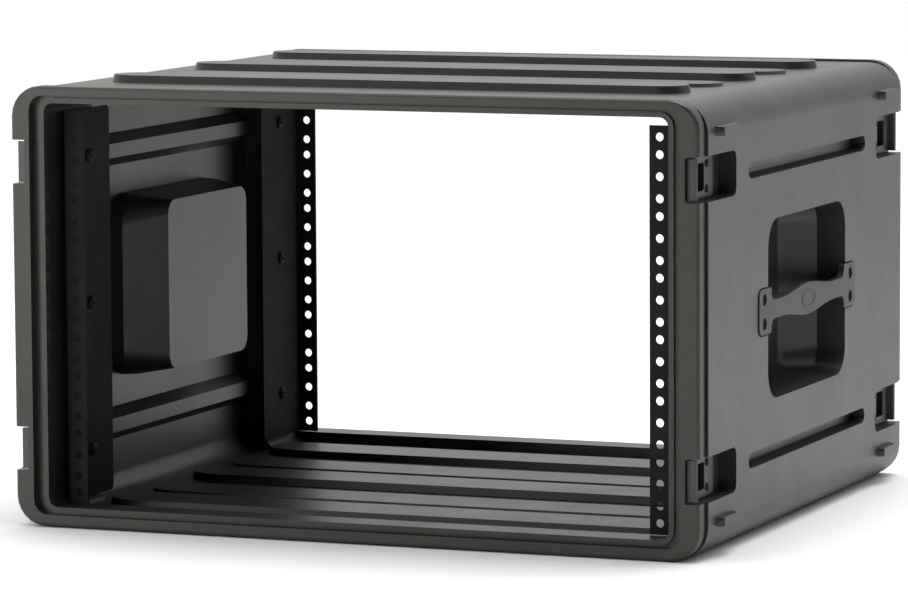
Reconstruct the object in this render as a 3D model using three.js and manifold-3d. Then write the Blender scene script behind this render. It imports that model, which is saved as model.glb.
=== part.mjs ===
// Six-unit 19-inch equipment rack case, both ends open, lids off.
// Millimetres. +X to the right, front end towards -Y, +Z up, origin at the middle of the underside.

import * as THREE from "three";
import { mergeVertices } from "three/addons/utils/BufferGeometryUtils.js";
import Module from "manifold-3d";

const solids = await Module();
solids.setup();

// ---- Rack standard ----
const unitHeight = 44.45;
const rackUnits = 6;
const holePitches = [12.7, 15.875, 15.875];
const holeColumnSpacing = 465.1;
const clearBetweenRails = 450;

// ---- Case body ----
const bodyWidth = 548;
const bodyHeight = 330;
const bodyCorner = 24;
const caseDepth = 490;
const endWidth = 544;
const endHeight = 331.5;
const endCorner = 23;
const endBandDepth = 14;
const endRounding = 3;
const seamWidth = 2;
const seamDepth = 1.6;

// ---- Hollow ----
const floorLevel = 6;
const ceilingLevel = 322;
const innerWidth = 522;
const innerCorner = 16;
const thickEndDepth = 88;
const mouthWidth = 494;
const mouthBottom = 14.5;
const mouthTop = 318.5;
const mouthCorner = 7;
const lipDepth = 30;
const lipWidth = 4;
const lipSetback = 5;
const recessWidth = 514;
const recessBottom = 9;
const recessTop = 324.5;
const recessCorner = 11;
const recessDepth = 7;

// ---- Stacking ribs on the roof, channels under the floor ----
const ribLength = 464;
const ribWidth = 40;
const ribPitch = 74.5;
const tallRib = 5.5;
const lowRib = 2.5;
const ribTaper = 2;
const ribRoot = 2;
const channelClearance = 1.5;
const channelExtraDepth = 1.3;
const channelWall = 5;
const ridgeTaper = 3;

// ---- Side features ----
const middleLevel = 166.5;
const grooveLength = 283;
const grooveWidth = 12;
const grooveDepth = 11;
const grooveRise = 106.5;
const grooveTaper = 2;
const innerRidgeProud = 9;
const innerRidgeFace = 11;
const innerRidgeSlope = 8;
const pocketLength = 187;
const pocketHeight = 134;
const pocketCentre = -3;
// The hand pocket from its mouth to its floor: depth, how far the ends and the top and bottom have
// drawn in, and the corner radius. Its walls go straight in, then its ends slope to the floor.
const pocketSteps = [
  [-0.01, 0, 0, 21],
  [22, 2, 2, 19],
  [41, 20, 5, 13],
  [45, 24, 8, 12],
  [47, 29, 13, 10],
];
// The box that the pocket makes inside the case, with a wall of about 5 round the pocket.
const boxSteps = [
  [1, -5, -5, 26],
  [24, -4, -3.5, 24],
  [52, 20, 1, 12],
];
const bumperLength = 36;
const bumperHeight = 8;
const bumperProud = 5;
const bumperRise = 141;
const bumperInset = 33;
const bumperTopCorner = 2;
const bumperTaper = 0.85;

// ---- Latch seats ----
const latchLength = 76;
const latchHeight = 33;
const latchRise = 108;
const latchDepth = 13;
const latchCorner = 6;
const latchOverrun = 8;
const slotStart = 19;
const slotLength = 18;
const slotHeight = 20;
const slotDepth = 5;
const slotCorner = 2;
const keeperThickness = 1.6;
const keeperLength = 52;
const keeperHeight = 30;
const keeperStart = 4;
const hookHeight = 7.5;
const hookLength = 4;
const rivetOffset = 9;
const rivetPlace = 42;
const rivetShank = 1.6;
const rivetHead = 3;
const rivetHeadHeight = 1.2;
const rivetReach = 4;

// ---- Rack rails ----
const railThickness = 2;
const railLegDepth = 76;
const railLegCorner = 5;
const railSetback = 26.5;
const railHoleDiameter = 6.5;
const railCentreLevel = 163;
const railEndMargin = 8.3;
const railScrewInset = 40;
const railScrewRise = 112;
const bossRadius = 12;
const bossLength = 20;

// ---- Carry handle ----
const handleLength = 232;
const handleBaseWidth = 28;
const handleBaseHeight = 34;
const handleBaseCorner = 6;
const handleThickness = 5;
const handleRecess = 4.4;
const gripNeck = 14;
const gripMiddle = 24;
const gripSwellReach = 62;
const gripFacets = 14;
const handleScrewRise = 9;
const handleScrewShift = 2;
const gripBackLength = 150;
const gripBackHeight = 12;
const gripBackDepth = 11;
const gripBackCorner = 5;

// ---- Fasteners ----
const screwShank = 2.5;
const screwHead = 5;
const screwHeadHeight = 2.8;
const screwReach = 12;
const handleScrewReach = 6;
const handleScrewHead = 4.2;
const handleScrewHeadHeight = 1.3;
const handleScrewSeat = 2.5;
const gap = 0.3;

// ---- Facets: each quarter round has twice this many ----
const fine = 3;
const medium = 2;
const coarse = 1;

// ---- Derived sizes ----
const halfDepth = caseDepth / 2;
const halfBody = bodyWidth / 2;
const wallThickness = (bodyWidth - innerWidth) / 2;
const legFace = clearBetweenRails / 2 + 15;
const legBack = legFace + railThickness;
const railHeight = rackUnits * unitHeight + holePitches[0] + 2 * railEndMargin;
const railHoleLine = holeColumnSpacing / 2;
const railScrewLine = halfDepth - railSetback - railScrewInset;

// ---- Materials ----
const shellPlastic = new THREE.MeshStandardMaterial({ color: 0x262625, roughness: 0.5, metalness: 0 });
const railSteel = new THREE.MeshStandardMaterial({ color: 0x161616, roughness: 0.5, metalness: 0.3 });
const gripRubber = new THREE.MeshStandardMaterial({ color: 0x303030, roughness: 0.7, metalness: 0 });
const keeperSteel = new THREE.MeshStandardMaterial({ color: 0x3a3a39, roughness: 0.5, metalness: 0.4 });
const screwSteel = new THREE.MeshStandardMaterial({ color: 0x121212, roughness: 0.4, metalness: 0.7 });

// ---- Geometry helpers ----

// A closed solid made from a geometry, for joining and cutting.
function toSolid(geometry) {
  const bare = geometry.clone();
  bare.deleteAttribute("normal");
  bare.deleteAttribute("uv");
  const merged = mergeVertices(bare, 1e-4);
  const mesh = new solids.Mesh({
    numProp: 3,
    vertProperties: new Float32Array(merged.attributes.position.array),
    triVerts: new Uint32Array(merged.index.array),
  });
  return new solids.Manifold(mesh);
}

// A geometry made from a closed solid.
function toGeometry(solid) {
  const mesh = solid.getMesh();
  const geometry = new THREE.BufferGeometry();
  geometry.setAttribute("position", new THREE.BufferAttribute(new Float32Array(mesh.vertProperties), 3));
  geometry.setIndex(new THREE.BufferAttribute(new Uint32Array(mesh.triVerts), 1));
  geometry.computeVertexNormals();
  return geometry;
}

function joinAll(base, geometries) {
  return geometries.reduce((body, geometry) => body.add(toSolid(geometry)), base);
}

function cutAll(base, geometries) {
  return geometries.reduce((body, geometry) => body.subtract(toSolid(geometry)), base);
}

// A rounded rectangle centred on (x, y).
function roundedRectangle(width, height, radius, x = 0, y = 0) {
  const left = x - width / 2;
  const right = x + width / 2;
  const low = y - height / 2;
  const high = y + height / 2;
  const shape = new THREE.Shape();
  shape.moveTo(left + radius, low);
  shape.lineTo(right - radius, low);
  shape.absarc(right - radius, low + radius, radius, -Math.PI / 2, 0);
  shape.lineTo(right, high - radius);
  shape.absarc(right - radius, high - radius, radius, 0, Math.PI / 2);
  shape.lineTo(left + radius, high);
  shape.absarc(left + radius, high - radius, radius, Math.PI / 2, Math.PI);
  shape.lineTo(left, low + radius);
  shape.absarc(left + radius, low + radius, radius, Math.PI, Math.PI * 1.5);
  return shape;
}

// A round hole drawn as two half circles, so that each half gets its own facets.
function roundHole(x, y, radius) {
  const hole = new THREE.Path();
  hole.absarc(x, y, radius, 0, Math.PI);
  hole.absarc(x, y, radius, Math.PI, Math.PI * 2);
  return hole;
}

function stadium(length, width) {
  return roundedRectangle(length, width, width / 2 - 0.01);
}

// An outline pushed along +Z from z = from to z = to. Its far end can shrink to a fraction of its size.
function pushed(shape, from, to, segments, farX = 1, farY = 1) {
  const depth = to - from;
  const options = { depth, bevelEnabled: false, curveSegments: segments };
  const geometry = new THREE.ExtrudeGeometry(shape, options);
  const position = geometry.attributes.position;
  for (let i = 0; i < position.count; i += 1) {
    const share = position.getZ(i) / depth;
    position.setX(i, position.getX(i) * (1 + (farX - 1) * share));
    position.setY(i, position.getY(i) * (1 + (farY - 1) * share));
  }
  geometry.translate(0, 0, from);
  return geometry;
}

// The same outline seen from the front: its x is X, its y is Z, and it runs from Y = from to Y = to.
function alongDepth(shape, from, to, segments) {
  const geometry = pushed(shape, 0, to - from, segments);
  geometry.rotateX(Math.PI / 2);
  geometry.translate(0, to, 0);
  return geometry;
}

// Turns a solid built on the floor plane so that its z runs inwards from a side wall's face.
function onSide(geometry, side, depthwise = 0, level = 0) {
  const turn = new THREE.Matrix4().makeBasis(
    new THREE.Vector3(0, -side, 0),
    new THREE.Vector3(0, 0, 1),
    new THREE.Vector3(-side, 0, 0),
  );
  geometry.applyMatrix4(turn);
  geometry.translate(side * halfBody, depthwise, level);
  return geometry;
}

const sides = [-1, 1];
const ends = [-1, 1];
const levels = [-1, 1];
const steps = [-1, 0, 1];

// ---- Moulded shell ----

const ribPlaces = [-2, -1, 0, 1, 2].map((step) => ({ y: step * ribPitch, tall: step % 2 === 0 }));

function crossSection(width, low, high, radius) {
  return roundedRectangle(width, high - low, radius, 0, (high + low) / 2);
}

// The two end bands as one long bar with rounded outer edges, less its middle.
function endBands() {
  const bandHalf = halfDepth - endBandDepth + seamWidth;
  const bar = new THREE.ExtrudeGeometry(crossSection(endWidth, 0, endHeight, endCorner), {
    depth: caseDepth - 2 * endRounding,
    bevelThickness: endRounding,
    bevelSize: endRounding,
    bevelOffset: -endRounding,
    bevelSegments: 3,
    curveSegments: fine,
  });
  bar.rotateX(Math.PI / 2).translate(0, halfDepth - endRounding, 0);
  const middle = new THREE.BoxGeometry(2 * endWidth, 2 * bandHalf, 3 * endHeight);
  return toSolid(bar).subtract(toSolid(middle));
}

function shellOutside() {
  const bodyHalf = halfDepth - endBandDepth;
  const neckHalf = bodyHalf + seamWidth + 1;
  const body = crossSection(bodyWidth, 0, bodyHeight, bodyCorner);
  const neck = crossSection(endWidth - 2 * seamDepth, 0, bodyHeight - seamDepth, endCorner - seamDepth);
  const middle = joinAll(toSolid(alongDepth(body, -bodyHalf, bodyHalf, fine)), [
    alongDepth(neck, -neckHalf, neckHalf, fine),
  ]);
  return middle.add(endBands());
}

function roofRibs() {
  return ribPlaces.map(({ y, tall }) => {
    const height = tall ? tallRib : lowRib;
    const shrink = [1 - (2 * ribTaper) / ribLength, 1 - (2 * ribTaper) / ribWidth];
    const rib = pushed(stadium(ribLength, ribWidth), 0, height + ribRoot, medium, ...shrink);
    return rib.translate(0, y, bodyHeight - ribRoot);
  });
}

function hollow() {
  const middleHalf = halfDepth - thickEndDepth;
  const room = crossSection(innerWidth, floorLevel, ceilingLevel, innerCorner);
  const throat = crossSection(mouthWidth, floorLevel, ceilingLevel, innerCorner);
  const mouth = crossSection(mouthWidth, mouthBottom, mouthTop, mouthCorner);
  return [
    alongDepth(room, -middleHalf, middleHalf, medium),
    alongDepth(throat, -halfDepth + lipDepth, halfDepth - lipDepth, medium),
    alongDepth(mouth, -halfDepth - 1, halfDepth + 1, medium),
  ];
}

// The recess round each mouth that a lid's edge seats in, less the low lip between it and the mouth.
function sealRecess(end) {
  const recess = crossSection(recessWidth, recessBottom, recessTop, recessCorner);
  const lip = crossSection(
    mouthWidth + 2 * lipWidth, mouthBottom - lipWidth, mouthTop + lipWidth, mouthCorner + lipWidth);
  const cut = (shape, depth) => {
    const reach = [end * (halfDepth + 1), end * (halfDepth - depth)];
    return toSolid(alongDepth(shape, Math.min(...reach), Math.max(...reach), medium));
  };
  return cut(recess, recessDepth).subtract(cut(lip, recessDepth + 1)).add(cut(lip, lipSetback));
}

function floorRidges() {
  return ribPlaces.map(({ y, tall }) => {
    const height = (tall ? tallRib : lowRib) + channelExtraDepth + channelWall;
    const grow = 2 * (channelClearance + channelWall);
    const shrink = [1 - (2 * ridgeTaper) / ribLength, 1 - (2 * ridgeTaper) / ribWidth];
    const ridge = pushed(stadium(ribLength + grow, ribWidth + grow), 1, height, medium, ...shrink);
    return ridge.translate(0, y, 0);
  });
}

function floorChannels() {
  return ribPlaces.map(({ y, tall }) => {
    const height = (tall ? tallRib : lowRib) + channelExtraDepth;
    const grow = 2 * channelClearance;
    const shrink = [1 - (2 * ribTaper) / ribLength, 1 - (2 * ribTaper) / ribWidth];
    const channel = pushed(stadium(ribLength + grow, ribWidth + grow), 0, height, medium, ...shrink);
    return channel.translate(0, y, 0);
  });
}

// A solid on the pocket's outline that draws in from step to step, and lies flat at both ends.
function steppedPocket(steps) {
  const loops = steps.map(([depth, endIn, topIn, corner]) => {
    const outline = roundedRectangle(pocketLength - 2 * endIn, pocketHeight - 2 * topIn, corner);
    return outline.getPoints(fine).map((point) => [point.x, point.y, depth]);
  });
  const count = loops[0].length;
  const last = count * (loops.length - 1);
  const flat = loops[0].map(([x, y]) => new THREE.Vector2(x, y));
  const faces = THREE.ShapeUtils.triangulateShape(flat, []);
  const index = faces.flatMap(([a, b, c]) => [a, c, b, a + last, b + last, c + last]);
  for (let start = 0; start < last; start += count) {
    for (let i = 0; i < count; i += 1) {
      const near = start + i;
      const next = start + ((i + 1) % count);
      index.push(near, next, next + count, near, next + count, near + count);
    }
  }
  const geometry = new THREE.BufferGeometry();
  geometry.setAttribute("position", new THREE.BufferAttribute(new Float32Array(loops.flat(2)), 3));
  geometry.setIndex(index);
  return geometry;
}

function latchSeat(end) {
  const length = latchLength + latchOverrun;
  const middle = end * (halfDepth + latchOverrun - length / 2);
  return { shape: roundedRectangle(length, latchHeight, latchCorner), middle };
}

// The ridge inside the wall behind each long groove, and the groove itself.
function innerRidge() {
  const slope = 2 * innerRidgeSlope;
  const height = innerRidgeFace + slope;
  const length = grooveLength + 2 * slope;
  const shrink = [1 - slope / length, innerRidgeFace / height];
  const root = wallThickness - 1;
  return pushed(stadium(length, height), root, wallThickness + innerRidgeProud, medium, ...shrink);
}

function longGroove() {
  const shrink = [1 - (2 * grooveTaper) / grooveLength, 1 - (2 * grooveTaper) / grooveWidth];
  return pushed(stadium(grooveLength, grooveWidth), -1, grooveDepth, medium, ...shrink);
}

function handleBase(grow) {
  return roundedRectangle(handleBaseWidth + 2 * grow, handleBaseHeight + 2 * grow, handleBaseCorner + grow);
}

const handleBaseReach = (handleLength - handleBaseWidth) / 2;

function sideJoins(side) {
  const list = [];
  list.push(onSide(steppedPocket(boxSteps), side, pocketCentre, middleLevel));
  for (const level of levels) {
    list.push(onSide(innerRidge(), side, 0, middleLevel + level * grooveRise));
    for (const end of ends) {
      const place = end * (halfDepth - bumperInset - bumperLength / 2);
      const top = roundedRectangle(
        bumperLength * bumperTaper, bumperHeight * bumperTaper, bumperTopCorner);
      const peg = pushed(top, -bumperProud, 1, coarse, 1 / bumperTaper, 1 / bumperTaper);
      list.push(onSide(peg, side, place, middleLevel + level * bumperRise));
    }
  }
  for (const end of ends) {
    for (const step of steps) {
      const top = halfBody - legBack - gap;
      const boss = pin(bossRadius, top - bossLength, top, 12);
      list.push(onSide(boss, side, end * railScrewLine, railCentreLevel + step * railScrewRise));
    }
  }
  return list;
}

function pin(radius, from, to, segments) {
  const bar = new THREE.CylinderGeometry(radius, radius, to - from, segments).rotateX(Math.PI / 2);
  return bar.translate(0, 0, (from + to) / 2);
}

function sideCuts(side) {
  const list = [onSide(steppedPocket(pocketSteps), side, pocketCentre, middleLevel)];
  for (const level of levels) {
    list.push(onSide(longGroove(), side, 0, middleLevel + level * grooveRise));
    const latchLevel = middleLevel + level * latchRise;
    for (const end of ends) {
      const seat = latchSeat(end);
      list.push(onSide(pushed(seat.shape, -9, latchDepth, coarse), side, seat.middle, latchLevel));
      const slot = roundedRectangle(slotLength, slotHeight, slotCorner);
      const slotMiddle = end * (halfDepth - slotStart - slotLength / 2);
      const slotCut = pushed(slot, latchDepth - 1, latchDepth + slotDepth, coarse);
      list.push(onSide(slotCut, side, slotMiddle, latchLevel));
      for (const offset of levels) {
        const hole = pin(rivetShank + gap, latchDepth - 1, latchDepth + rivetReach + 1, 6);
        list.push(onSide(hole, side, end * (halfDepth - rivetPlace), latchLevel + offset * rivetOffset));
      }
    }
  }
  for (const end of ends) {
    const place = pocketCentre + end * handleBaseReach;
    list.push(onSide(pushed(handleBase(1), -1, handleRecess, medium), side, place, middleLevel));
    for (const offset of levels) {
      const hole = pin(screwShank + gap, handleRecess - 1, handleRecess + handleScrewReach, 8);
      list.push(onSide(hole, side, place + end * handleScrewShift, middleLevel + offset * handleScrewRise));
    }
    for (const step of steps) {
      const hole = pin(screwShank + gap, halfBody - legBack - screwReach, halfBody - legBack + 1, 8);
      list.push(onSide(hole, side, end * railScrewLine, railCentreLevel + step * railScrewRise));
    }
  }
  return list;
}

function mouldedShell() {
  let body = joinAll(shellOutside(), roofRibs());
  body = cutAll(body, hollow());
  body = joinAll(body, [...floorRidges(), ...sideJoins(-1), ...sideJoins(1)]);
  body = cutAll(body, [...floorChannels(), ...sideCuts(-1), ...sideCuts(1)]);
  for (const end of ends) {
    body = body.subtract(sealRecess(end));
  }
  return toGeometry(body);
}

// ---- Rack rails ----

// A right-hand front rail: the flange faces forwards at y = 0 and the leg runs back along the case's wall.
function rackRail() {
  const flangeWidth = legBack - clearBetweenRails / 2;
  const half = railHeight / 2;
  const flange = new THREE.Shape();
  flange.moveTo(clearBetweenRails / 2, -half);
  flange.lineTo(clearBetweenRails / 2 + flangeWidth, -half);
  flange.lineTo(clearBetweenRails / 2 + flangeWidth, half);
  flange.lineTo(clearBetweenRails / 2, half);
  let rise = -(rackUnits * unitHeight + holePitches[0]) / 2;
  for (let i = 0; i <= 3 * rackUnits + 1; i += 1) {
    flange.holes.push(roundHole(railHoleLine, rise, railHoleDiameter / 2));
    rise += holePitches[i % holePitches.length];
  }
  const leg = new THREE.Shape();
  leg.moveTo(0, -half);
  leg.lineTo(railLegDepth - railLegCorner, -half);
  leg.absarc(railLegDepth - railLegCorner, railLegCorner - half, railLegCorner, -Math.PI / 2, 0);
  leg.lineTo(railLegDepth, half - railLegCorner);
  leg.absarc(railLegDepth - railLegCorner, half - railLegCorner, railLegCorner, 0, Math.PI / 2);
  leg.lineTo(0, half);
  for (const step of steps) {
    leg.holes.push(roundHole(railScrewInset, step * railScrewRise, screwShank + gap));
  }
  const legPlate = pushed(leg, 0, railThickness, medium);
  const upright = new THREE.Matrix4().makeBasis(
    new THREE.Vector3(0, 1, 0),
    new THREE.Vector3(0, 0, 1),
    new THREE.Vector3(1, 0, 0),
  );
  legPlate.applyMatrix4(upright);
  legPlate.translate(legFace, 0, 0);
  return toGeometry(toSolid(alongDepth(flange, 0, railThickness, medium)).add(toSolid(legPlate)));
}

// ---- Latch keepers and rivets ----

// A strike plate lying on z = 0: its hooked edge is at x = 0, and its slot takes the latch's claw.
function latchKeeper() {
  const profile = new THREE.Shape();
  const hookRadius = hookLength / 2;
  profile.moveTo(0, 0);
  profile.lineTo(keeperLength, 0);
  profile.lineTo(keeperLength, keeperThickness);
  profile.lineTo(hookLength, keeperThickness);
  profile.lineTo(hookLength, hookHeight - hookRadius);
  profile.absarc(hookRadius, hookHeight - hookRadius, hookRadius, 0, Math.PI);
  const bar = alongDepth(profile, -keeperHeight / 2, keeperHeight / 2, medium);
  const slotPlace = slotStart - keeperStart + slotLength / 2;
  const slot = roundedRectangle(slotLength, slotHeight, slotCorner, slotPlace, 0);
  const cuts = [pushed(slot, -1, keeperThickness + 1, coarse)];
  for (const offset of levels) {
    const hole = pin(rivetShank + gap, -1, keeperThickness + 1, 6);
    cuts.push(hole.translate(rivetPlace - keeperStart, offset * rivetOffset, 0));
  }
  return toGeometry(cutAll(toSolid(bar), cuts));
}

// A round-headed fastener on the z axis. Its head's underside is at z = 0 and its shank points down.
function headedPin(headRadius, headHeight, shankRadius, reach, segments) {
  const crown = headRadius * 0.6;
  const profile = [
    [0, -reach],
    [shankRadius, -reach],
    [shankRadius, 0],
    [headRadius, 0],
    [headRadius, headHeight * 0.4],
    [crown, headHeight],
    [0, headHeight],
  ];
  const lathe = new THREE.LatheGeometry(profile.map(([r, z]) => new THREE.Vector2(r, z)), segments);
  return toGeometry(toSolid(lathe.rotateX(Math.PI / 2)));
}

// ---- Carry handle ----

// The grip's half height at a distance along it from the handle's middle.
function gripHalf(distance) {
  const swell = Math.cos((Math.PI / 2) * Math.min(1, Math.abs(distance) / gripSwellReach)) ** 2;
  return gripNeck / 2 + ((gripMiddle - gripNeck) / 2) * swell;
}

// A strap-shaped grip between two screwed feet. Its back is at z = 0, its face at the handle's thickness.
function carryHandle() {
  const reach = handleBaseReach;
  const gripEnd = reach - handleBaseWidth / 2 + 2;
  const edge = [];
  for (let i = 0; i <= gripFacets; i += 1) {
    const along = gripEnd * ((2 * i) / gripFacets - 1);
    edge.push(new THREE.Vector2(along, gripHalf(along)));
  }
  const lowEdge = edge.map((point) => new THREE.Vector2(point.x, -point.y));
  const grip = new THREE.Shape([...lowEdge, ...edge.reverse()]);
  const back = roundedRectangle(gripBackLength, gripBackHeight, gripBackCorner);
  const joins = [pushed(back, -gripBackDepth, 1, medium)];
  const cuts = [];
  for (const end of ends) {
    const foot = roundedRectangle(handleBaseWidth, handleBaseHeight, handleBaseCorner, end * reach, 0);
    joins.push(pushed(foot, 0, handleThickness, medium));
    for (const offset of levels) {
      const seat = pin(handleScrewHead + gap, handleThickness - handleScrewSeat, handleThickness + 1, 12);
      const hole = pin(screwShank + gap, -1, handleThickness + 1, 8);
      const x = end * (reach + handleScrewShift);
      const y = offset * handleScrewRise;
      cuts.push(seat.translate(x, y, 0), hole.translate(x, y, 0));
    }
  }
  return toGeometry(cutAll(joinAll(toSolid(pushed(grip, 0, handleThickness, coarse)), joins), cuts));
}

// ---- Assembly ----

function piece(name, geometry, material, x = 0, y = 0, z = 0) {
  const mesh = new THREE.Mesh(geometry, material);
  mesh.name = name;
  mesh.position.set(x, y, z);
  return mesh;
}

// A group on a side wall's outer face: x runs along the wall, y up, and z out of the case.
function wallGroup(side) {
  const group = new THREE.Group();
  const turn = new THREE.Matrix4().makeBasis(
    new THREE.Vector3(0, side, 0),
    new THREE.Vector3(0, 0, 1),
    new THREE.Vector3(side, 0, 0),
  );
  group.quaternion.setFromRotationMatrix(turn);
  group.position.set(side * halfBody, 0, 0);
  return group;
}

const sideName = { [-1]: "left", [1]: "right" };
const endName = { [-1]: "front", [1]: "rear" };
const levelName = { [-1]: "lower", [1]: "upper" };

const rackCase = new THREE.Group();
rackCase.add(piece("moulded_shell", mouldedShell(), shellPlastic));

const railGeometry = rackRail();
const keeperGeometry = latchKeeper();
const rivetGeometry = headedPin(
  rivetHead, rivetHeadHeight, rivetShank, keeperThickness + rivetReach, 8);
const railScrewGeometry = headedPin(screwHead, screwHeadHeight, screwShank, screwReach - gap, 10);
const handleGeometry = carryHandle();
const handleScrewGeometry = headedPin(
  handleScrewHead, handleScrewHeadHeight, screwShank, handleScrewReach + 1, 10);

for (const side of sides) {
  for (const end of ends) {
    const rail = piece(`${endName[end]}_rail_${sideName[side]}`, railGeometry, railSteel);
    rail.rotation.set(end > 0 ? Math.PI : 0, 0, 0);
    if (side < 0) {
      rail.rotation.set(0, end > 0 ? 0 : Math.PI, end > 0 ? Math.PI : 0);
    }
    rail.position.set(0, end * (halfDepth - railSetback), railCentreLevel);
    rackCase.add(rail);
  }

  const wall = wallGroup(side);
  rackCase.add(wall);
  for (const end of ends) {
    const corner = `${endName[end]}_${sideName[side]}`;
    const along = (distance) => side * end * (halfDepth - distance);
    for (const step of steps) {
      const level = railCentreLevel + step * railScrewRise;
      const depth = -(halfBody - legFace) - gap;
      const screw = piece(`rail_screw_${corner}_${step + 2}`, railScrewGeometry, screwSteel);
      screw.rotation.set(Math.PI, 0, 0);
      screw.position.set(along(railSetback + railScrewInset), level, depth);
      wall.add(screw);
    }
    for (const level of levels) {
      const latchLevel = middleLevel + level * latchRise;
      const place = `${levelName[level]}_${corner}`;
      const keeper = piece(`latch_keeper_${place}`, keeperGeometry, keeperSteel);
      keeper.rotation.set(0, 0, side * end > 0 ? Math.PI : 0);
      keeper.position.set(along(keeperStart), latchLevel, -latchDepth + gap);
      wall.add(keeper);
      for (const offset of levels) {
        const name = `keeper_rivet_${place}_${(offset + 3) / 2}`;
        const height = -latchDepth + 2 * gap + keeperThickness;
        const rise = latchLevel + offset * rivetOffset;
        wall.add(piece(name, rivetGeometry, screwSteel, along(rivetPlace), rise, height));
      }
    }
  }

  const handlePlace = side * pocketCentre;
  const handleBack = -handleRecess + gap;
  wall.add(piece(`carry_handle_${sideName[side]}`, handleGeometry, gripRubber,
    handlePlace, middleLevel, handleBack));
  for (const end of ends) {
    for (const level of levels) {
      const name = `handle_screw_${sideName[side]}_${endName[end]}_${levelName[level]}`;
      const x = handlePlace + side * end * (handleBaseReach + handleScrewShift);
      const seat = handleBack + handleThickness - handleScrewSeat + gap;
      wall.add(piece(name, handleScrewGeometry, screwSteel,
        x, middleLevel + level * handleScrewRise, seat));
    }
  }
}

export default rackCase;
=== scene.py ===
"""Looks of the six-unit equipment rack case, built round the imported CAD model. Lengths are in metres."""

import math

import bmesh
import bpy
from mathutils import Matrix, Vector
from mathutils.geometry import tessellate_polygon


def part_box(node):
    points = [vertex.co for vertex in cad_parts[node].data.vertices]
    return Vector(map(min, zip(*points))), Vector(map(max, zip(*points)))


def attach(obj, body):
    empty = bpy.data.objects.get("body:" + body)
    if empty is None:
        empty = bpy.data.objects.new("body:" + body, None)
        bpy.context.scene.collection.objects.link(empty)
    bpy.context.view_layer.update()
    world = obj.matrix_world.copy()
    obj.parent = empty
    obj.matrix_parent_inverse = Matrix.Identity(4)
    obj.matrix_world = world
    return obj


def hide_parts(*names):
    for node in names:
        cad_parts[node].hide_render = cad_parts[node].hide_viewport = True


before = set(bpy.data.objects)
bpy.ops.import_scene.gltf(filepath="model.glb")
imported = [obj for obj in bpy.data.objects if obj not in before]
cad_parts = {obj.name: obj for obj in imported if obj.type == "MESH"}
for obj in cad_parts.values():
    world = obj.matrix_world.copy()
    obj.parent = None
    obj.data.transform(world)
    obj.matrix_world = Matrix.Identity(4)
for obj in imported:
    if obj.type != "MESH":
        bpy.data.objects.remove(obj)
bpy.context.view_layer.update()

MM = 0.001
SIDES = {"left": -1, "right": 1}
ENDS = {"front": -1, "rear": 1}
LEVELS = ("lower", "upper")


# ---------------------------------------------------------------- camera

IMAGE_WIDTH = 908
FOCAL_PIXELS = 5157.3
SENSOR_WIDTH = 36.0
CAMERA_PLACE = Vector((1.4705, -3.6874, 0.5848))
CAMERA_AZIMUTH = math.radians(21.935)
CAMERA_ELEVATION = math.radians(6.241)
CAMERA_ROLL = math.radians(-0.326)


def make_camera():
    data = bpy.data.cameras.new("camera")
    data.sensor_width = SENSOR_WIDTH
    data.lens = FOCAL_PIXELS * SENSOR_WIDTH / IMAGE_WIDTH
    data.clip_end = 50
    camera = bpy.data.objects.new("camera", data)
    turn = Matrix.Rotation(CAMERA_AZIMUTH, 4, "Z")
    tilt = Matrix.Rotation(math.pi / 2 - CAMERA_ELEVATION, 4, "X")
    roll = Matrix.Rotation(CAMERA_ROLL, 4, "Z")
    camera.matrix_world = Matrix.Translation(CAMERA_PLACE) @ turn @ tilt @ roll
    bpy.context.scene.collection.objects.link(camera)
    bpy.context.scene.camera = camera


# ---------------------------------------------------------------- stage and light

FLOOR_REACH = 14
FLOOR_DROP = 0.5 * MM
FLOOR_TONE = 0.96
FLOOR_ROUGHNESS = 0.9
TOP_PLACE = (0.3, 0.4, 2.6)
TOP_SIZE = 1.8
TOP_POWER = 40
FRONT_PLACE = (-1.7, -2.6, 0.45)
FRONT_SIZE = 1.2
FRONT_POWER = 22
LIGHT_AIM = Vector((0, 0, 0.17))
BACKDROP = 1.05
# Each part of the room: its direction, the cosines where it starts and is full, and its brightness there.
ROOM_PARTS = (
    ((0.62, -0.78, 0.0), (0.15, 0.80), (1.0, 0.03)),
    ((-0.35, -0.75, 0.55), (0.6, 0.95), (1.0, 0.6)),
    ((0.60, 0.80, 0.0), (0.6, 1.0), (1.0, 0.75)),
    ((0.0, 0.0, 1.0), (0.3, 0.9), (1.0, 1.7)),
)


def make_area_light(name, place, size, power):
    """A square soft box that looks at the middle of the case."""
    data = bpy.data.lights.new(name, "AREA")
    data.shape = "SQUARE"
    data.size = size
    data.energy = power
    light = bpy.data.objects.new(name, data)
    light.location = place
    light.rotation_euler = (LIGHT_AIM - Vector(place)).to_track_quat("-Z", "Y").to_euler()
    bpy.context.scene.collection.objects.link(light)


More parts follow.
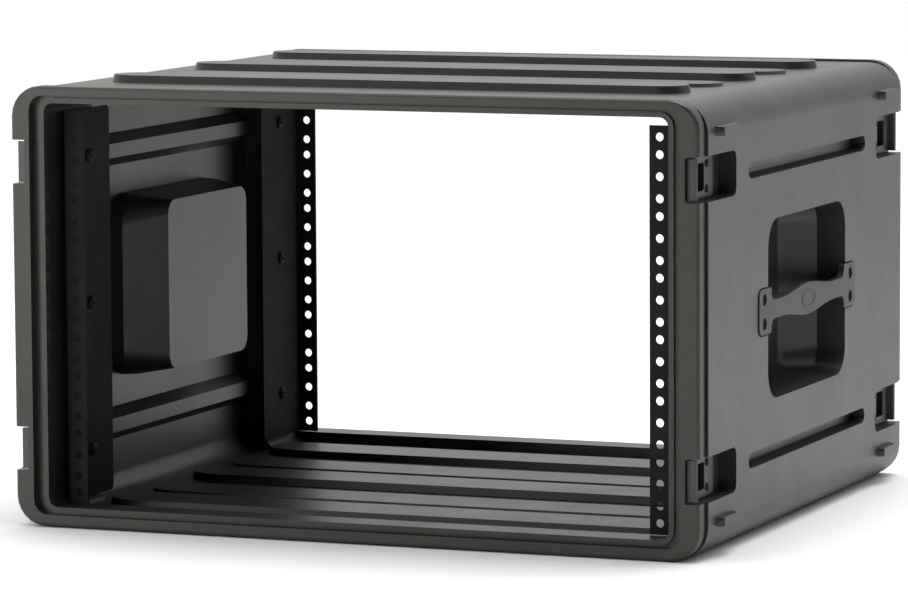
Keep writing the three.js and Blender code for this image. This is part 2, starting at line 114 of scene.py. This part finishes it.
def make_world():
    """A white room that is dim towards the front right and brighter towards the front left."""
    world = bpy.data.worlds.new("studio")
    world.use_nodes = True
    tree = world.node_tree
    direction = tree.nodes.new("ShaderNodeTexCoord").outputs["Generated"]
    strength = None
    for aim, stops, levels in ROOM_PARTS:
        along = tree.nodes.new("ShaderNodeVectorMath")
        along.operation = "DOT_PRODUCT"
        along.inputs[1].default_value = Vector(aim).normalized()
        tree.links.new(direction, along.inputs[0])
        part = tree.nodes.new("ShaderNodeMapRange")
        part.interpolation_type = "SMOOTHSTEP"
        part.inputs["From Min"].default_value = stops[0]
        part.inputs["From Max"].default_value = stops[1]
        part.inputs["To Min"].default_value = levels[0]
        part.inputs["To Max"].default_value = levels[1]
        tree.links.new(along.outputs["Value"], part.inputs["Value"])
        if strength is None:
            strength = part.outputs["Result"]
            continue
        product = tree.nodes.new("ShaderNodeMath")
        product.operation = "MULTIPLY"
        tree.links.new(strength, product.inputs[0])
        tree.links.new(part.outputs["Result"], product.inputs[1])
        strength = product.outputs["Value"]
    seen = tree.nodes.new("ShaderNodeMix")
    seen.inputs["B"].default_value = BACKDROP
    tree.links.new(tree.nodes.new("ShaderNodeLightPath").outputs["Is Camera Ray"], seen.inputs["Factor"])
    tree.links.new(strength, seen.inputs["A"])
    background = tree.nodes["Background"]
    background.inputs["Color"].default_value = (1, 1, 1, 1)
    tree.links.new(seen.outputs["Result"], background.inputs["Strength"])
    bpy.context.scene.world = world


def make_stage():
    mesh = bpy.data.meshes.new("floor")
    signs = ((-1, -1), (1, -1), (1, 1), (-1, 1))
    corners = [(x * FLOOR_REACH, y * FLOOR_REACH, -FLOOR_DROP) for x, y in signs]
    mesh.from_pydata(corners, [], [(0, 1, 2, 3)])
    floor = bpy.data.objects.new("floor", mesh)
    bpy.context.scene.collection.objects.link(floor)
    material = bpy.data.materials.new("floor_paper")
    material.use_nodes = True
    shader = material.node_tree.nodes["Principled BSDF"]
    shader.inputs["Base Color"].default_value = (FLOOR_TONE, FLOOR_TONE, FLOOR_TONE, 1)
    shader.inputs["Roughness"].default_value = FLOOR_ROUGHNESS
    floor.data.materials.append(material)

    make_area_light("top_softbox", TOP_PLACE, TOP_SIZE, TOP_POWER)
    make_area_light("front_softbox", FRONT_PLACE, FRONT_SIZE, FRONT_POWER)
    bpy.context.scene.view_settings.view_transform = "Standard"


# ---------------------------------------------------------------- materials

# The box that holds the inner surfaces: for each axis, its middle and half its length.
INSIDE_BOX = (("X", 0.0, 262 * MM), ("Y", 0.0, 238 * MM), ("Z", 166.5 * MM, 158 * MM))
INSIDE_BLEND = 1 * MM
# Bump strengths of the moulded plastic, outside and inside.
GRAIN_STRENGTH = (0.5, 0.15)
PEBBLE_STRENGTH = (0.6, 0.05)
WAVE_STRENGTH = 0.12
WAVE_DEPTH = 1.0 * MM
# Noise scales, in features to the metre.
MOTTLE_SCALE = 55.0
WAVE_SCALE = 9.0
RUB_SCALE = 14.0
CLOUD_SCALE = 40.0
SCUFF_SCALE = 260.0
COLOUR_STOPS = (0.3, 0.75)
PEEL_STRENGTH = 0.35
PEEL_DEPTH = 0.05 * MM
WARM_TINT = (1.0, 0.995, 0.93, 1)


def node_tools(name):
    """A new material with its shader, and functions that add and join nodes."""
    material = bpy.data.materials.new(name)
    material.use_nodes = True
    tree = material.node_tree
    shader = tree.nodes["Principled BSDF"]

    def add(kind, **values):
        node = tree.nodes.new(kind)
        for key, value in values.items():
            if key in node.inputs:
                node.inputs[key].default_value = value
            else:
                setattr(node, key, value)
        return node

    def join(source, target):
        tree.links.new(source, target)

    return material, shader, add, join


def noise(add, join, place, scale, detail, roughness=0.6, distortion=0.0):
    node = add("ShaderNodeTexNoise", Scale=scale, Detail=detail, Roughness=roughness, Distortion=distortion)
    join(place, node.inputs["Vector"])
    return node.outputs["Fac"]


def ramp(add, join, source, low, high, stops):
    """A colour ramp between two colours, driven by source."""
    node = add("ShaderNodeValToRGB")
    first, last = node.color_ramp.elements
    first.position, last.position = stops
    first.color = (*low, 1)
    last.color = (*high, 1)
    join(source, node.inputs["Fac"])
    return node.outputs["Color"]


def spread(add, join, source, stops, low, high):
    """Maps source from its useful range to low..high."""
    node = add("ShaderNodeMapRange")
    node.inputs["From Min"].default_value, node.inputs["From Max"].default_value = stops
    node.inputs["To Min"].default_value = low
    node.inputs["To Max"].default_value = high
    join(source, node.inputs["Value"])
    return node.outputs["Result"]


def bump(add, join, height, strength, distance):
    node = add("ShaderNodeBump", Strength=strength, Distance=distance)
    join(height, node.inputs["Height"])
    return node.outputs["Normal"]


def inside(add, join, place):
    """1 on the case's inner surfaces, which the mould leaves smoother, and 0 on its outside and its ends."""
    apart = add("ShaderNodeSeparateXYZ")
    join(place, apart.inputs["Vector"])
    mask = None
    for axis, middle, reach in INSIDE_BOX:
        away = add("ShaderNodeMath", operation="ABSOLUTE")
        shifted = add("ShaderNodeMath", operation="SUBTRACT")
        shifted.inputs[1].default_value = middle
        join(apart.outputs[axis], shifted.inputs[0])
        join(shifted.outputs["Value"], away.inputs[0])
        stops = (reach - INSIDE_BLEND, reach + INSIDE_BLEND)
        step = spread(add, join, away.outputs["Value"], stops, 1, 0)
        if mask is None:
            mask = step
            continue
        both = add("ShaderNodeMath", operation="MULTIPLY")
        join(mask, both.inputs[0])
        join(step, both.inputs[1])
        mask = both.outputs["Value"]
    return mask


def pebbled_plastic(name, dark, light, roughness, index, grain, depth, smoother=0.0):
    """Moulded plastic with a pebble grain, faint mottling, slow waviness and rubbed patches."""
    material, shader, add, join = node_tools(name)
    place = add("ShaderNodeTexCoord").outputs["Object"]
    pebble = add("ShaderNodeTexVoronoi", Scale=1 / grain, Randomness=1.0, feature="SMOOTH_F1")
    join(place, pebble.inputs["Vector"])
    fine = noise(add, join, place, 0.5 / grain, 3.0)
    mottle = noise(add, join, place, MOTTLE_SCALE, 4.0, 0.65)
    wave = noise(add, join, place, WAVE_SCALE, 1.0, 0.4)
    rub = noise(add, join, place, RUB_SCALE, 6.0, 0.7, 0.6)
    join(ramp(add, join, mottle, dark, light, COLOUR_STOPS), shader.inputs["Base Color"])
    rough = spread(add, join, rub, (0.35, 0.7), roughness - 0.02, roughness + 0.03)
    normal = bump(add, join, wave, WAVE_STRENGTH, WAVE_DEPTH)
    grain_bump = add("ShaderNodeBump", Strength=GRAIN_STRENGTH[0], Distance=depth)
    join(fine, grain_bump.inputs["Height"])
    join(normal, grain_bump.inputs["Normal"])
    pebble_bump = add("ShaderNodeBump", Strength=PEBBLE_STRENGTH[0], Distance=depth)
    join(pebble.outputs["Distance"], pebble_bump.inputs["Height"])
    join(grain_bump.outputs["Normal"], pebble_bump.inputs["Normal"])
    if smoother:
        within = inside(add, join, place)
        drop = add("ShaderNodeMath", operation="MULTIPLY_ADD")
        drop.inputs[1].default_value = -smoother
        join(within, drop.inputs[0])
        join(rough, drop.inputs[2])
        rough = drop.outputs["Value"]
        join(spread(add, join, within, (0, 1), *GRAIN_STRENGTH), grain_bump.inputs["Strength"])
        join(spread(add, join, within, (0, 1), *PEBBLE_STRENGTH), pebble_bump.inputs["Strength"])
    join(rough, shader.inputs["Roughness"])
    join(pebble_bump.outputs["Normal"], shader.inputs["Normal"])
    shader.inputs["IOR"].default_value = index
    shader.inputs["Specular Tint"].default_value = WARM_TINT
    return material


def coated_metal(name, dark, light, roughness, peel_size, specular=0.5):
    """Powder-coated, painted or blackened steel: an orange-peel surface with slight cloudiness."""
    material, shader, add, join = node_tools(name)
    place = add("ShaderNodeTexCoord").outputs["Object"]
    peel = noise(add, join, place, 1 / peel_size, 2.0, 0.5)
    cloud = noise(add, join, place, CLOUD_SCALE, 4.0)
    scuff = noise(add, join, place, SCUFF_SCALE, 5.0, 0.75, 1.2)
    join(ramp(add, join, cloud, dark, light, COLOUR_STOPS), shader.inputs["Base Color"])
    rough = spread(add, join, scuff, (0.3, 0.7), roughness - 0.07, roughness + 0.09)
    join(rough, shader.inputs["Roughness"])
    join(bump(add, join, peel, PEEL_STRENGTH, PEEL_DEPTH), shader.inputs["Normal"])
    shader.inputs["Specular IOR Level"].default_value = specular
    return material


SHELL = pebbled_plastic(
    "shell_plastic", dark=(0.015, 0.015, 0.0135), light=(0.023, 0.023, 0.021),
    roughness=0.40, index=1.5, grain=1.3 * MM, depth=0.08 * MM, smoother=0.01)
GRIP = pebbled_plastic(
    "grip_rubber", dark=(0.016, 0.016, 0.015), light=(0.026, 0.026, 0.024),
    roughness=0.5, index=1.5, grain=0.7 * MM, depth=0.04 * MM)
RAIL = coated_metal(
    "rail_steel", dark=(0.014, 0.014, 0.014), light=(0.022, 0.022, 0.022),
    roughness=0.6, peel_size=1.0 * MM, specular=0.04)
KEEPER = coated_metal(
    "keeper_steel", dark=(0.036, 0.036, 0.034), light=(0.052, 0.052, 0.049),
    roughness=0.4, peel_size=0.8 * MM)
SCREW = coated_metal(
    "screw_steel", dark=(0.012, 0.012, 0.012), light=(0.020, 0.020, 0.020),
    roughness=0.5, peel_size=0.4 * MM, specular=0.12)


# ---------------------------------------------------------------- mesh helpers

def finish_piece(piece, node, material):
    """Gives a new piece its material, and has it ride on the case in place of its CAD node."""
    piece.data.materials.clear()
    piece.data.materials.append(material)
    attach(piece, "root")
    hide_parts(node)


def object_from(bm, name):
    mesh = bpy.data.meshes.new(name)
    bm.to_mesh(mesh)
    bm.free()
    piece = bpy.data.objects.new(name, mesh)
    bpy.context.scene.collection.objects.link(piece)
    return piece


def smooth_flat_faces(piece):
    """Smooth shading whose normals follow the large flat faces, so rounded edges read as round."""
    for face in piece.data.polygons:
        face.use_smooth = True
    modifier = piece.modifiers.new("weighted", "WEIGHTED_NORMAL")
    modifier.keep_sharp = True
    modifier.weight = 100


def round_edges(bm, width, segments, angle=30):
    """Rounds every edge of the mesh that is sharper than the angle."""
    limit = math.radians(angle)
    sharp = [e for e in bm.edges if len(e.link_faces) == 2 and e.calc_face_angle(0) > limit]
    bmesh.ops.bevel(
        bm, geom=sharp, offset=width, segments=segments, profile=0.5, affect="EDGES", clamp_overlap=True)


def softened(node, name, width, segments):
    """A copy of a CAD node with its facets joined into flat faces and every sharp edge rounded."""
    bm = bmesh.new()
    bm.from_mesh(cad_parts[node].data)
    bmesh.ops.remove_doubles(bm, verts=bm.verts, dist=2e-6)
    bmesh.ops.dissolve_limit(bm, angle_limit=math.radians(0.6), verts=bm.verts, edges=bm.edges)
    round_edges(bm, width, segments)
    return object_from(bm, name)


def arc(x, y, radius, start, finish, count):
    """Points round an arc from one angle to another, in degrees, both ends kept."""
    angles = [math.radians(start + (finish - start) * i / count) for i in range(count + 1)]
    return [(x + radius * math.cos(a), y + radius * math.sin(a)) for a in angles]


def circle(x, y, radius, count=24):
    return arc(x, y, radius, 0, 360, count)[:-1]


def rounded_rectangle(length, height, radius, count=6):
    x = length / 2 - radius
    y = height / 2 - radius
    quarters = ((x, y, 0), (-x, y, 90), (-x, -y, 180), (x, -y, 270))
    return [point for px, py, start in quarters for point in arc(px, py, radius, start, start + 90, count)]


def add_sheet(bm, outline, holes, place, open_lines=()):
    """Adds a sheet: place(x, y, back) gives a point on its face or back. No wall is made on an open line."""
    loops = [outline, *holes]
    flat = [point for loop in loops for point in loop]
    skins = [[bm.verts.new(place(x, y, back)) for x, y in flat] for back in (0, 1)]
    for triangle in tessellate_polygon([[Vector((x, y, 0)) for x, y in loop] for loop in loops]):
        bm.faces.new([skins[0][i] for i in triangle])
        bm.faces.new([skins[1][i] for i in reversed(triangle)])
    start = 0
    for loop in loops:
        for i, point in enumerate(loop):
            j = (i + 1) % len(loop)
            if point[0] == loop[j][0] and point[0] in open_lines:
                continue
            bm.faces.new((skins[0][start + i], skins[0][start + j], skins[1][start + j], skins[1][start + i]))
        start += len(loop)


def seal(bm):
    """Joins doubled points, merges flat triangles and turns every face outwards."""
    bmesh.ops.remove_doubles(bm, verts=bm.verts, dist=2e-6)
    bmesh.ops.dissolve_limit(bm, angle_limit=math.radians(0.5), verts=bm.verts, edges=bm.edges)
    bmesh.ops.recalc_face_normals(bm, faces=bm.faces)


# ---------------------------------------------------------------- moulded shell

SHELL_EDGE = 1.3 * MM


def make_shell():
    shell = softened("moulded_shell", "shell_moulding", SHELL_EDGE, 3)
    smooth_flat_faces(shell)
    finish_piece(shell, "moulded_shell", SHELL)


# ---------------------------------------------------------------- rack rails

UNIT = 44.45 * MM
UNITS = 6
HOLE_PITCHES = (12.7 * MM, 15.875 * MM, 15.875 * MM)
HOLE_COLUMN = 465.1 * MM / 2
HOLE_RADIUS = 3.25 * MM
RAIL_THICKNESS = 2 * MM
FOLD_RADIUS = 3 * MM
FOLD_STEPS = 5
LEG_CORNER = 5 * MM
LEG_SCREW_PLACE = 40 * MM
LEG_SCREW_RISE = 112 * MM
LEG_SCREW_HOLE = 2.8 * MM
RAIL_EDGE = 0.35 * MM


def make_rail(end, side):
    """A folded strip: its holed flange faces out of the mouth and its leg lies along the case's wall."""
    node = f"{end}_rail_{side}"
    low, high = (Vector(corner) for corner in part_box(node))
    out = SIDES[side]
    face = low.y if end == "front" else high.y
    inward = -ENDS[end]
    inner_edge = min(abs(low.x), abs(high.x))
    outer_edge = max(abs(low.x), abs(high.x))
    centre = (low.z + high.z) / 2
    half = (high.z - low.z) / 2
    leg_end = high.y - low.y
    fold_start = outer_edge - FOLD_RADIUS
    fold_length = math.pi / 2 * FOLD_RADIUS
    leg_start = fold_start + fold_length

    def place(run, rise, back):
        """Bends the flat strip: run goes across the flange, round the fold and along the leg."""
        depth = RAIL_THICKNESS * back
        if run <= fold_start:
            x, y = run, depth
        elif run < leg_start:
            turn = (run - fold_start) / FOLD_RADIUS
            x = fold_start + (FOLD_RADIUS - depth) * math.sin(turn)
            y = FOLD_RADIUS - (FOLD_RADIUS - depth) * math.cos(turn)
        else:
            x, y = outer_edge - depth, FOLD_RADIUS + run - leg_start
        return Vector((out * x, face + inward * y, centre + rise))

    rise = -(UNITS * UNIT + HOLE_PITCHES[0]) / 2
    flange_holes = []
    for i in range(3 * UNITS + 2):
        flange_holes.append(circle(HOLE_COLUMN, rise, HOLE_RADIUS))
        rise += HOLE_PITCHES[i % 3]
    flange = [(inner_edge, -half), (fold_start, -half), (fold_start, half), (inner_edge, half)]

    run_end = leg_start + leg_end - FOLD_RADIUS
    leg = [(leg_start, half), (leg_start, -half)]
    leg += arc(run_end - LEG_CORNER, LEG_CORNER - half, LEG_CORNER, -90, 0, 6)
    leg += arc(run_end - LEG_CORNER, half - LEG_CORNER, LEG_CORNER, 0, 90, 6)
    screw_run = leg_start + LEG_SCREW_PLACE - FOLD_RADIUS
    leg_holes = [circle(screw_run, step * LEG_SCREW_RISE, LEG_SCREW_HOLE, 16) for step in (-1, 0, 1)]

    bm = bmesh.new()
    add_sheet(bm, flange, flange_holes, place, (fold_start,))
    stops = [fold_start + fold_length * i / FOLD_STEPS for i in range(FOLD_STEPS)] + [leg_start]
    for near, far in zip(stops, stops[1:]):
        strip = [(near, -half), (far, -half), (far, half), (near, half)]
        add_sheet(bm, strip, [], place, (near, far))
    add_sheet(bm, leg, leg_holes, place, (leg_start,))
    seal(bm)
    round_edges(bm, RAIL_EDGE, 2, 50)
    rail = object_from(bm, f"rack_rail_{end}_{side}")
    smooth_flat_faces(rail)
    finish_piece(rail, node, RAIL)


# ---------------------------------------------------------------- screws, rivets and keepers

TURNS = 48
CROSS_REACH = 0.46
CROSS_WIDTH = 0.12
KEEPER_EDGE = 0.45 * MM


def cross_radius(angle, reach, width):
    """How far a cross-shaped recess reaches from its middle at an angle."""
    quarter = math.pi / 2
    offset = (angle + quarter / 2) % quarter - quarter / 2
    along = reach / math.cos(offset)
    across = width / max(abs(math.sin(offset)), 1e-6)
    return min(along, across)


def add_turned(bm, base, out, rings):
    """Adds a turned solid on the X axis: each ring is a height and a function from angle to radius."""
    rows = []
    for height, radius in rings:
        row = []
        for i in range(TURNS):
            angle = 2 * math.pi * i / TURNS
            reach = radius(angle)
            offset = Vector((out * height, reach * math.cos(angle), reach * math.sin(angle)))
            row.append(bm.verts.new(base + offset))
        rows.append(row)
    for row, next_row in zip(rows, rows[1:]):
        for i in range(TURNS):
            j = (i + 1) % TURNS
            bm.faces.new((row[i], row[j], next_row[j], next_row[i]))
    bm.faces.new(rows[0])
    bm.faces.new(rows[-1])
    bmesh.ops.recalc_face_normals(bm, faces=bm.faces)


def dome(radius, height, steps=7):
    """Rings of a low dome from its rim to near its top."""
    rings = []
    for i in range(steps):
        turn = math.pi / 2 * i / steps
        rings.append((height * math.sin(turn), lambda angle, r=radius * math.cos(turn): r))
    return rings


def make_fastener(node, name, out, head_height, recessed):
    """A round-headed screw or rivet whose head points along X, towards out."""
    low, high = (Vector(corner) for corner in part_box(node))
    radius = (high.z - low.z) / 2
    top = high.x if out > 0 else low.x
    length = high.x - low.x
    base = Vector((top - out * head_height, (low.y + high.y) / 2, (low.z + high.z) / 2))
    shank = radius * 0.5
    shank_end = head_height - length
    rings = [(shank_end, lambda angle: shank), (0.0, lambda angle: shank), (0.0, lambda angle: radius)]
    if recessed:
        rings += [(h + 0.3 * head_height, r) for h, r in dome(radius, 0.7 * head_height, 5)[:4]]
        rings.append((head_height, lambda angle: radius * 0.56))
        reach = radius * CROSS_REACH
        width = radius * CROSS_WIDTH
        rings.append((head_height, lambda angle: cross_radius(angle, reach, width)))
        rings.append((head_height * 0.35, lambda angle: cross_radius(angle, reach * 0.8, width * 0.8)))
    else:
        rings += dome(radius, head_height)[1:]
    bm = bmesh.new()
    add_turned(bm, base, out, rings)
    piece = object_from(bm, name)
    smooth_flat_faces(piece)
    finish_piece(piece, node, SCREW)


def make_keeper(level, end, side):
    node = f"latch_keeper_{level}_{end}_{side}"
    keeper = softened(node, f"keeper_plate_{level}_{end}_{side}", KEEPER_EDGE, 2)
    smooth_flat_faces(keeper)
    finish_piece(keeper, node, KEEPER)


RAIL_SCREW_HEAD = 2.8 * MM
HANDLE_SCREW_HEAD = 1.3 * MM
RIVET_HEAD = 1.2 * MM


def make_hardware():
    for side, out in SIDES.items():
        for end in ENDS:
            make_rail(end, side)
            for number in (1, 2, 3):
                place = f"{end}_{side}_{number}"
                make_fastener(f"rail_screw_{place}", f"rail_fixing_{place}", -out, RAIL_SCREW_HEAD, True)
            for level in LEVELS:
                make_keeper(level, end, side)
                for number in (1, 2):
                    place = f"{level}_{end}_{side}_{number}"
                    make_fastener(f"keeper_rivet_{place}", f"rivet_{place}", out, RIVET_HEAD, False)
                place = f"{side}_{end}_{level}"
                make_fastener(f"handle_screw_{place}", f"handle_fixing_{place}", out, HANDLE_SCREW_HEAD, True)


# ---------------------------------------------------------------- carry handles

FOOT_LENGTH = 28 * MM
FOOT_CORNER = 6 * MM
FOOT_INNER_CORNER = 3 * MM
NECK_HALF = 7 * MM
SWELL = 5 * MM
SWELL_REACH = 62 * MM
NECK_FILLET = 7 * MM
HANDLE_THICKNESS = 5 * MM
HANDLE_EDGE = 1.1 * MM
SCREW_RISE = 9 * MM
SCREW_SHIFT = 2 * MM
SCREW_SEAT = 4.5 * MM
BACK_LENGTH = 150 * MM
BACK_HEIGHT = 12 * MM
BACK_CORNER = 5 * MM
OVAL_LENGTH = 30 * MM
OVAL_HEIGHT = 12 * MM
BEAD = 0.55 * MM


def handle_outline(half_length, half_height):
    """The strap's outline: a swelling grip that flares through fillets into two feet."""
    neck_end = half_length - FOOT_LENGTH
    quarter = []
    steps = 30
    for i in range(steps + 1):
        x = (neck_end - NECK_FILLET) * i / steps
        swell = math.cos(math.pi / 2 * min(1, x / SWELL_REACH)) ** 2
        quarter.append((x, NECK_HALF + SWELL * swell))
    quarter += arc(neck_end - NECK_FILLET, NECK_HALF + NECK_FILLET, NECK_FILLET, -90, 0, 8)[1:]
    corner = FOOT_INNER_CORNER
    quarter += arc(neck_end + corner, half_height - corner, corner, 180, 90, 5)[1:]
    corner = FOOT_CORNER
    quarter += arc(half_length - corner, half_height - corner, corner, 90, 0, 7)
    upper = [(-x, y) for x, y in reversed(quarter[1:])] + quarter
    return upper + [(x, -y) for x, y in reversed(upper)]


def add_oval_bead(bm, place, face):
    """A plain raised oval in the middle of the grip's face."""
    around = 64
    section = 8
    rows = []
    for i in range(around):
        angle = 2 * math.pi * i / around
        row = []
        for k in range(section):
            turn = 2 * math.pi * k / section
            grow = BEAD * math.cos(turn)
            x = (OVAL_LENGTH / 2 + grow) * math.cos(angle)
            y = (OVAL_HEIGHT / 2 + grow) * math.sin(angle)
            row.append(bm.verts.new(place(x, y, face + BEAD * (math.sin(turn) - 0.25))))
        rows.append(row)
    for i in range(around):
        row = rows[i]
        next_row = rows[(i + 1) % around]
        for k in range(section):
            m = (k + 1) % section
            bm.faces.new((row[k], row[m], next_row[m], next_row[k]))


def make_handle(side):
    node = f"carry_handle_{side}"
    low, high = (Vector(corner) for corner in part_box(node))
    out = SIDES[side]
    face = max(abs(low.x), abs(high.x))
    back = face - HANDLE_THICKNESS
    deep = min(abs(low.x), abs(high.x))
    centre_y = (low.y + high.y) / 2
    centre_z = (low.z + high.z) / 2
    half_length = (high.y - low.y) / 2
    half_height = (high.z - low.z) / 2

    def place(x, y, reach):
        return Vector((out * reach, centre_y + x, centre_z + y))

    holes = []
    for end in ENDS.values():
        for rise in (-SCREW_RISE, SCREW_RISE):
            x = end * (half_length - FOOT_LENGTH / 2 + SCREW_SHIFT)
            holes.append(circle(x, rise, SCREW_SEAT))

    bm = bmesh.new()
    outline = handle_outline(half_length, half_height)
    add_sheet(bm, outline, holes, lambda x, y, rear: place(x, y, back if rear else face))
    seal(bm)
    round_edges(bm, HANDLE_EDGE, 3, 40)
    block = bmesh.new()
    shape = rounded_rectangle(BACK_LENGTH, BACK_HEIGHT, BACK_CORNER)
    add_sheet(block, shape, [], lambda x, y, rear: place(x, y, deep if rear else back + HANDLE_EDGE))
    seal(block)
    round_edges(block, HANDLE_EDGE * 2, 3, 40)
    add_oval_bead(block, place, face)
    bmesh.ops.recalc_face_normals(block, faces=block.faces)
    scratch = bpy.data.meshes.new("grip_back")
    block.to_mesh(scratch)
    block.free()
    bm.from_mesh(scratch)
    bpy.data.meshes.remove(scratch)
    handle = object_from(bm, f"handle_strap_{side}")
    smooth_flat_faces(handle)
    finish_piece(handle, node, GRIP)


# ---------------------------------------------------------------- assembly

make_camera()
make_world()
make_stage()
make_shell()
make_hardware()
for side_name in SIDES:
    make_handle(side_name)
